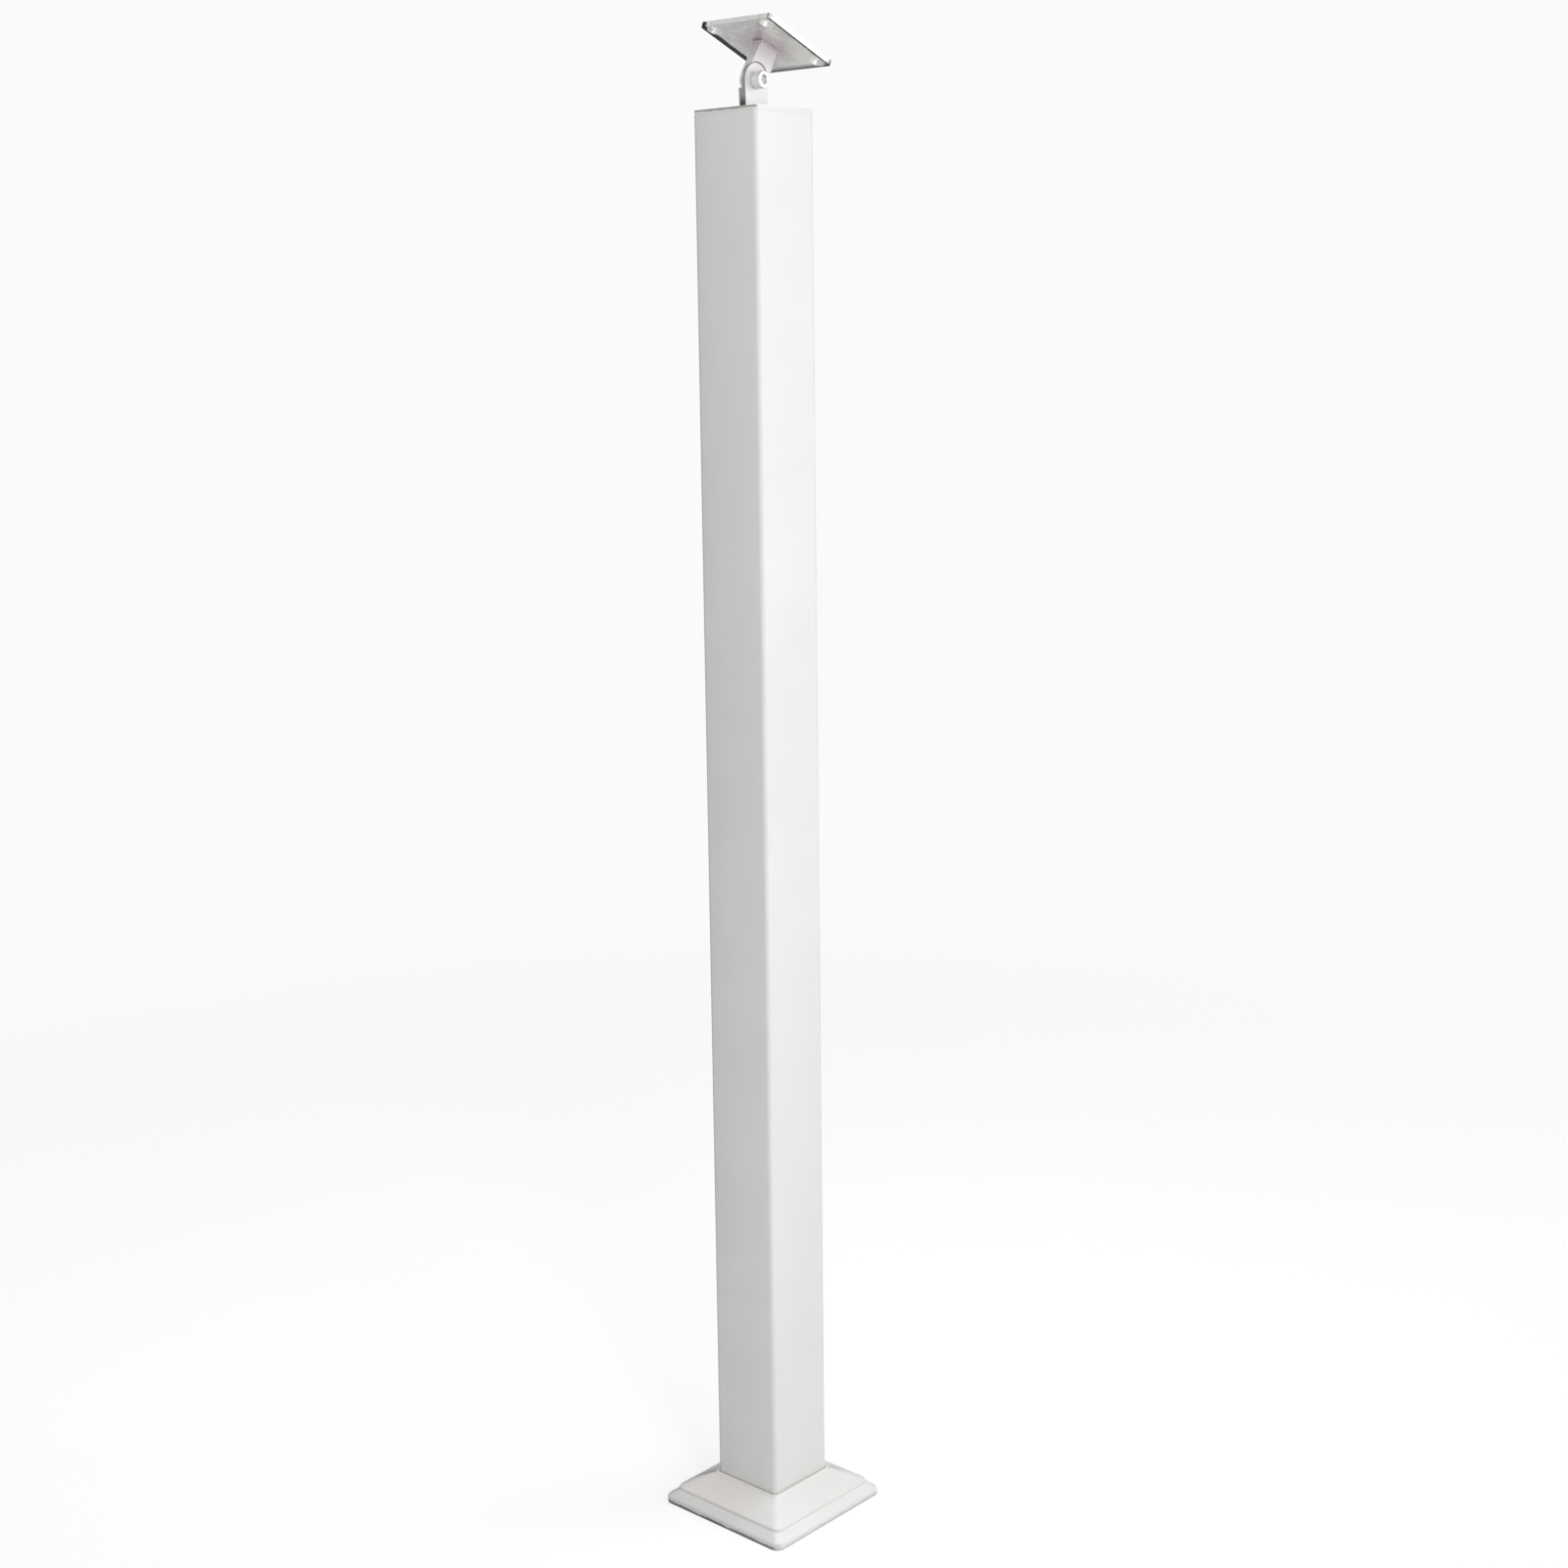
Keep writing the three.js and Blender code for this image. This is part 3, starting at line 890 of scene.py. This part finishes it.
def underside_edge_shade(tree, place):
    """The mask of painted shade along three edges of the plate's underside."""
    spot = slope_place(tree, place)
    across = spot.outputs[0]
    along = spot.outputs[1]
    wander = evened(tree, noise(tree, place, *EDGE_SHADE_NOISE), -EDGE_SHADE_WANDER, EDGE_SHADE_WANDER)
    half = plate_half_width
    moved = total(tree, across, wander)
    far_side = sharpened(tree, moved, -half + FAR_EDGE_SHADE[0], -half + FAR_EDGE_SHADE[1], 1, 0)
    near_side = sharpened(tree, moved, half - NEAR_EDGE_SHADE[1], half - NEAR_EDGE_SHADE[0])
    low = plate_low_end
    low_end = sharpened(tree, total(tree, along, wander), low - LOW_EDGE_SHADE[1], low - LOW_EDGE_SHADE[0])
    paler = product(tree, greater(tree, near_side, low_end), NEAR_EDGE_SHADE_SHARE)
    border = greater(tree, far_side, paler)
    return product(tree, border, side_zone(DOWN, off=0.2, full=0.6)(tree, place))


def countersinks(tree, place):
    """The mask of the bare cut faces of the four screw holes, painted paler partly as a painted reflection."""
    spot = slope_place(tree, place)
    across = size_of(tree, spot.outputs[0])
    along = size_of(tree, total(tree, spot.outputs[1], -seat_in_saddle.y))
    corner = add(tree, "CombineXYZ", {0: across, 1: along}).outputs[0]
    away = apart(tree, corner, (RAIL_HOLES_ACROSS / 2, RAIL_HOLES_ALONG / 2, 0))
    mouth = RAIL_HOLE_MOUTH / 2
    return sharpened(tree, away, mouth + COUNTERSINK_EDGE[0], mouth + COUNTERSINK_EDGE[1], 1, 0)


def level_zone(bottom, top, soft, wander):
    """The mask of a band between two heights."""
    return group_mask(BAND, Bottom=bottom, Top=top, Soft=soft, Wander=wander)


def side_zone(direction, off, full):
    """The mask of the faces towards a direction, from the cosine where it is off to full."""
    def mask(tree, place):
        return use_group(tree, SIDE, Direction=direction, Off=off, Full=full).outputs["Mask"]
    return mask


def both(first, second, amount=1.0):
    """The mask where two masks meet."""
    def mask(tree, place):
        meeting = product(tree, first(tree, place), second(tree, place))
        return product(tree, meeting, amount)
    return mask


def sawn_rim(tree, place):
    """The mask of a piece's rim, between its two faces across the screw."""
    return use_group(tree, RIM).outputs["Mask"]


def on_plate(across, along, down=PLATE_THICKNESS):
    """A point of the frame, from its place on the saddle plate and its depth under the seat."""
    return tuple(saddle_space @ Vector((across, along, seat_in_saddle.z - down)))


def off_far_edge(tree, place):
    """The mask of a lug without the strip along its far edge, which the painted side shade leaves bright."""
    across = add(tree, "SeparateXYZ", {0: place}).outputs[0]
    return sharpened(tree, across, lug_low.x + FAR_STRIP[0], lug_low.x + FAR_STRIP[1])


POWDER = powder_texture()
CORNER_DIRT_AND_SHADE = corner_dirt_and_shade()
RUB = edge_rub()
GRAIN = rolled_grain()
ROUND_ZONE = round_zone()
BAND = height_band()
SIDE = facing_side()
RIM = rim_faces()

# Stains and painted shades of the coat: bands of height, then round ones by centre, core, reach and amount
# Band for the painted contact shadow at the floor
floor_contact_shadow = level_zone(-1 * MM, 1.3 * MM, 0.9 * MM, 0.5 * MM)
# Band for the painted shade on the cover's rim
rim_shade_band = level_zone(2 * MM, 8 * MM, 1.5 * MM, 0.8 * MM)
# Band for the painted shade along the cap's top edge
cap_shade_band = level_zone(cap_high.z - 1.1 * MM, cap_high.z + 1 * MM, 0.5 * MM, 0.5 * MM)
# Painted warm shade on the front slope
front_slope_shade = zone((-0.012, -0.036, 0.013), 0.018, 0.045)
# Painted deep shade on the far slope beside the tube
far_slope_deep_shade = zone((-0.030, -0.028, 0.018), 0.004, 0.012, 0.5)
far_slope_shade = zone((-0.040, -0.040, 0.012), 0.012, 0.036, 0.6)
# Painted shade on the back slope beside the tube
back_slope_shade = zone((0.028, 0.030, 0.018), 0.003, 0.009, 0.35)
tube_coat = white_coat(
    "tube_coat",
    PEEL_DEPTH,
    dirt_and_shade_share=0.3,
    # Painted shade on the far corner, which turns away from the light
    stains_and_shades=[(side_zone(FAR_CORNER, 0.712, 0.82), FAR_CORNER_SHADE)],
)
cap_coat = white_coat(
    "cap_coat",
    PEEL_DEPTH,
    dirt_and_shade_share=0.4,
    # Painted shade on the cap's top edge, on the shaded front side only
    stains_and_shades=[(both(cap_shade_band, side_zone(FRONT, 0.2, 0.7), 0.9), CAP_EDGE_SHADE)],
)
cover_coat = white_coat(
    "cover_coat",
    COVER_PEEL_DEPTH,
    dirt_and_shade_share=0.4,
    stains_and_shades=[
        # Painted warm shade on the front slope, front faces only
        (both(front_slope_shade, side_zone(FRONT, 0.1, 0.4), 0.9), SLOPE_WARM_SHADE),
        # Painted shade on the rim, front faces only
        (both(rim_shade_band, side_zone(FRONT, 0.2, 0.6), 0.7), RIM_SHADE),
        (both(far_slope_shade, side_zone(LEFT, 0.3, 0.5)), SLOPE_SHADE),
        # Painted deep shade on the far slope, left faces only
        (both(far_slope_deep_shade, side_zone(LEFT, 0.2, 0.45)), SLOPE_DEEP_SHADE),
        # Painted shade on the back slope, back faces only
        (both(back_slope_shade, side_zone(BACK, 0.2, 0.45)), BACK_SLOPE_SHADE),
        # Painted contact shadow along the cover's bottom edge, dark on the left, grey on the right
        (both(floor_contact_shadow, side_zone(LEFT, -0.6, 0.0), 0.85), CONTACT_SHADOW_DARK),
        (both(floor_contact_shadow, side_zone(RIGHT, 0.0, 0.6), 0.25), CONTACT_SHADOW_GREY),
    ],
)

lug_toe = (0, -FIXED_ROOT_WIDTH / 2, lug_low.z)
plate_root = on_plate(0, seat_in_saddle.y)
# Centre of the painted light patch on the plate's underside
lit_patch = on_plate(0.02, seat_in_saddle.y + 0.012)
far_high_corner = on_plate(-plate_half_width, plate_high_end, PLATE_THICKNESS / 2)
far_low_corner = on_plate(-plate_half_width, plate_low_end)
near_low_corner = on_plate(plate_half_width, plate_low_end)
up_the_plate = (0, -math.cos(saddle_tilt), math.sin(saddle_tilt))
plate_steel = satin_steel(
    "plate_steel",
    STEEL,
    DULL_STEEL,
    grain_turn=saddle_tilt,
    roughness=0.3,
    stains_and_shades=[
        # Painted light on the underside, brighter towards the right
        (zone(lit_patch, 0.01, 0.034, 0.7), LIT_STEEL),
        (zone(plate_root, 0.011, 0.02, 0.75), HEAT_TINT),
        (side_zone(up_the_plate, 0.7, 0.9), PLATE_END),
        # Painted shade along three edges of the underside
        (underside_edge_shade, EDGE_SHADE_BLACK),
        # Bare cut faces of the screw holes, partly a painted reflection
        (countersinks, CUT_STEEL_AND_SHEEN),
        # Painted shade on three corners of the plate
        (zone(far_high_corner, 0.004, 0.006), EDGE_SHADE_BLACK),
        (zone(far_low_corner, 0.005, 0.008), EDGE_SHADE_BLACK),
        (zone(near_low_corner, 0.003, 0.006, 0.9), EDGE_SHADE_BLACK),
    ],
    mottle=PLATE_MOTTLE,
)
fixed_lug_steel = satin_steel(
    "fixed_lug_steel",
    BLASTED_STEEL,
    DULL_BLASTED_STEEL,
    grain_turn=0,
    roughness=0.4,
    stains_and_shades=[
        # Painted shade on the lug's front side, short of its far edge
        (both(off_far_edge, side_zone(FRONT, 0.1, 0.6)), LUG_SIDE_SHADE),
        # Painted shade at the lug's foot, where it meets the cap
        (both(off_far_edge, both(sawn_rim, zone(lug_toe, 0.003, 0.008))), TOE_SHADE),
    ],
    metal=HALF_BLASTED,
)
saddle_lug_steel = satin_steel(
    "saddle_lug_steel",
    TINTED_STEEL,
    DULL_TINTED_STEEL,
    grain_turn=saddle_tilt,
    roughness=0.3,
    stains_and_shades=[
        # Painted shade on the lug's +X side, between the parts
        (side_zone(RIGHT, 0.3, 0.8), SADDLE_LUG_SIDE_SHADE),
        (zone(plate_root, 0.002, 0.012, 0.3), PALE_HEAT_TINT),
    ],
    metal=LIGHTLY_BLASTED,
)
screw_steel = satin_steel(
    "screw_steel",
    TURNED_STEEL,
    DULL_TURNED_STEEL,
    grain_turn=0,
    roughness=0.24,
    stains_and_shades=[(sawn_rim, KNURL_GREY)],
)
bead_steel = satin_steel(
    "bead_steel",
    BEAD_STEEL,
    DULL_BEAD_STEEL,
    grain_turn=0,
    roughness=0.3,
)

dress(tube_piece(), "post", tube_coat, "white_coat", "post_tube")
dress(cap_piece(), "post", cap_coat, "white_coat", "top_cap")
dress(cover_piece(), "post", cover_coat, "white_coat", "foot_cover")
dress(
    rounded_solid("upright_lug", "fixed_lug", LUG_EDGE_ROUND),
    "post",
    fixed_lug_steel,
    "satin_steel",
    "fixed_lug",
)
dress(
    rounded_solid("hanging_lug", "saddle_lug", LUG_EDGE_ROUND),
    "saddle",
    saddle_lug_steel,
    "satin_steel",
    "saddle_lug",
)
dress(
    rounded_solid("rail_plate", "saddle_plate", PLATE_EDGE_ROUND),
    "saddle",
    plate_steel,
    "satin_steel",
    "saddle_plate",
)
dress(screw_piece(), "saddle", screw_steel, "screw_steel", "pivot_screw")
lug_foot = Matrix.Translation((0, 0, cap_high.z))
dress(
    bead_piece("lug_foot_weld", lug_foot, FIXED_ROOT_WIDTH, LUG_THICKNESS, 1),
    "post",
    bead_steel,
    "satin_steel",
)
plate_underside = saddle_space @ Matrix.Translation(
    (0, seat_in_saddle.y, seat_in_saddle.z - PLATE_THICKNESS)
)
dress(
    bead_piece("plate_weld", plate_underside, SADDLE_ROOT_WIDTH, LUG_THICKNESS, -1),
    "saddle",
    bead_steel,
    "satin_steel",
)


def area_light(name, place, aim, width, height, power):
    """A soft rectangular light that faces a point and isn't seen itself."""
    lamp = bpy.data.lights.new(name, "AREA")
    lamp.shape = "RECTANGLE"
    lamp.size = width
    lamp.size_y = height
    lamp.energy = power
    light = bpy.data.objects.new(name, lamp)
    light.location = place
    light.rotation_mode = "QUATERNION"
    light.rotation_quaternion = (Vector(aim) - Vector(place)).to_track_quat("-Z", "Y")
    light.visible_camera = False
    bpy.context.scene.collection.objects.link(light)


def surround():
    """An even white backdrop. What it casts is brightest on the right and dim on the left."""
    world = bpy.data.worlds.new("surround")
    bpy.context.scene.world = world
    world.use_nodes = True
    tree = world.node_tree
    tree.nodes.clear()
    toward = add(tree, "TexCoord").outputs["Generated"]
    parts = add(tree, "SeparateXYZ", {0: toward})
    height = parts.outputs[2]
    side = sharpened(tree, parts.outputs[0], -1.0, 1.0)
    sky = sharpened(tree, product(tree, side, side), 0.0, 1.0, DIM_SIDE, BRIGHT_SIDE)
    below = sharpened(tree, height, -HORIZON_FADE, 0.0, 1.0, 0.0)
    level = add(tree, "Mix", {0: below, 2: sky, 3: GROUND_LEVEL}).outputs[0]
    cast = add(tree, "Background", {"Color": WHITE, "Strength": level})
    seen = add(tree, "Background", {"Color": WHITE, "Strength": BACKDROP_LEVEL})
    path = add(tree, "LightPath")
    mix = add(
        tree,
        "MixShader",
        {0: path.outputs["Is Camera Ray"], 1: cast.outputs[0], 2: seen.outputs[0]},
    )
    add(tree, "OutputWorld", {"Surface": mix.outputs[0]})


def floor():
    """A round pale floor that fades into the backdrop."""
    shape = bmesh.new()
    bmesh.ops.create_circle(shape, cap_ends=True, segments=96, radius=FLOOR_REACH)
    mesh = bpy.data.meshes.new("floor")
    shape.to_mesh(mesh)
    shape.free()
    piece = bpy.data.objects.new("floor", mesh)
    bpy.context.scene.collection.objects.link(piece)
    material, tree, shader, place = new_material("floor_white")
    shader.inputs["Roughness"].default_value = FLOOR_ROUGHNESS
    shader.inputs["Specular IOR Level"].default_value = FLOOR_SHINE
    camera_ray = add(tree, "LightPath").outputs["Is Camera Ray"]
    colour = blended(tree, camera_ray, FLOOR_BOUNCE, FLOOR_SEEN)
    tree.links.new(colour, shader.inputs["Base Color"])
    shader.inputs["Emission Color"].default_value = WHITE
    lift = product(tree, camera_ray, FLOOR_LIFT)
    tree.links.new(lift, shader.inputs["Emission Strength"])
    distance = add(tree, "VectorMath", {0: place}, operation="LENGTH").outputs["Value"]
    fade = sharpened(tree, distance, FLOOR_FADE, FLOOR_REACH, 1.0, 0.0)
    tree.links.new(fade, shader.inputs["Alpha"])
    mesh.materials.append(material)


def studio():
    """A pale floor and backdrop, with soft lights beside, behind and above."""
    bpy.context.scene.view_settings.view_transform = "Standard"
    surround()
    floor()
    for light in LIGHTS:
        area_light(*light)


def camera():
    """The camera at the photo's viewing angle."""
    lens = bpy.data.cameras.new("camera")
    lens.lens = CAMERA_LENS
    lens.sensor_width = SENSOR_WIDTH
    lens.clip_start = NEAREST_SEEN
    eye = bpy.data.objects.new("camera", lens)
    look = (CAMERA_AIM - CAMERA_PLACE).to_track_quat("-Z", "Y").to_matrix().to_4x4()
    eye.matrix_world = (
        Matrix.Translation(CAMERA_PLACE) @ look @ Matrix.Rotation(CAMERA_ROLL, 4, "Z")
    )
    bpy.context.scene.collection.objects.link(eye)
    bpy.context.scene.camera = eye


studio()
camera()
